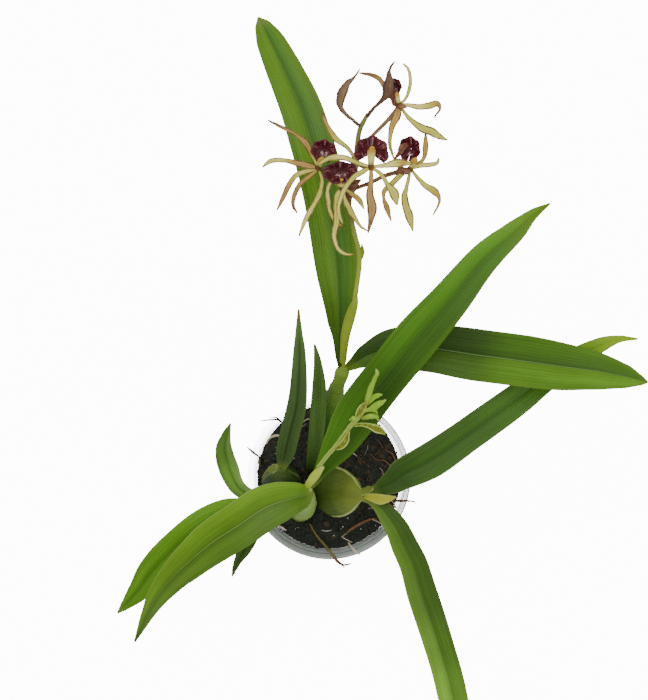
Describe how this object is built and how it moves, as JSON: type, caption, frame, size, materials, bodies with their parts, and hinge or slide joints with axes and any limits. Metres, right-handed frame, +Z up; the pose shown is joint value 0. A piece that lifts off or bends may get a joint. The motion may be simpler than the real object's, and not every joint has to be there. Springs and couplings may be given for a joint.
{
  "type": "potted clamshell orchid",
  "caption": "Clamshell orchid in a translucent nursery pot: bulbs with long strap leaves, a leaning stem of dark shell-lipped blooms and a young spike.",
  "frame": {"origin": "centre of the pot's flat base", "axes": "+Z up, +Y towards the side that the flower stem leans to, +X to the right seen from above"},
  "size_m": [0.378, 0.5219, 0.3114],
  "materials": {
    "pot": "thin translucent plastic, satin",
    "bark_mix": "rough moist bark and peat",
    "bulb": "satin, faint lengthwise ribs",
    "leaf": "smooth, softly glossy",
    "sheath": "papery, striated",
    "stem": "smooth, speckled at the nodes",
    "young_spike": "smooth, soft",
    "petal": "soft satin with a tan flush",
    "lip": "glossy, radiating pale veins",
    "bud": "matte, striped",
    "root": "dry, fibrous"
  },
  "bodies": {
    "root": {"pot": "pot", "soil": "bark_mix", "bulb_north": "bulb", "bulb_centre": "bulb", "bulb_east": "bulb", "bulb_west": "bulb", "bulb_far_west": "bulb", "leaf_north": "leaf", "leaf_east": "leaf", "leaf_northeast": "leaf", "leaf_low_east": "leaf", "leaf_southeast": "leaf", "leaf_southwest": "leaf", "leaf_low_southwest": "leaf", "leaf_south": "leaf", "leaf_west": "leaf", "leaf_spear_west": "leaf", "leaf_spear_centre": "leaf", "flower_stem": "stem", "spathe": "sheath", "bloom_middle": "petal", "lip_middle": "lip", "bloom_left": "petal", "lip_left": "lip", "bloom_lower": "petal", "lip_lower": "lip", "bloom_right": "petal", "lip_right": "lip", "bloom_top": "petal", "lip_top": "lip", "bud_left": "bud", "bud_right": "bud", "yellow_bract": "sheath", "young_sheath": "sheath", "young_spike": "young_spike", "root_front": "root", "root_fork": "root", "root_rusty": "root", "root_arc": "root", "root_east": "root"}
  },
  "joints": []
}
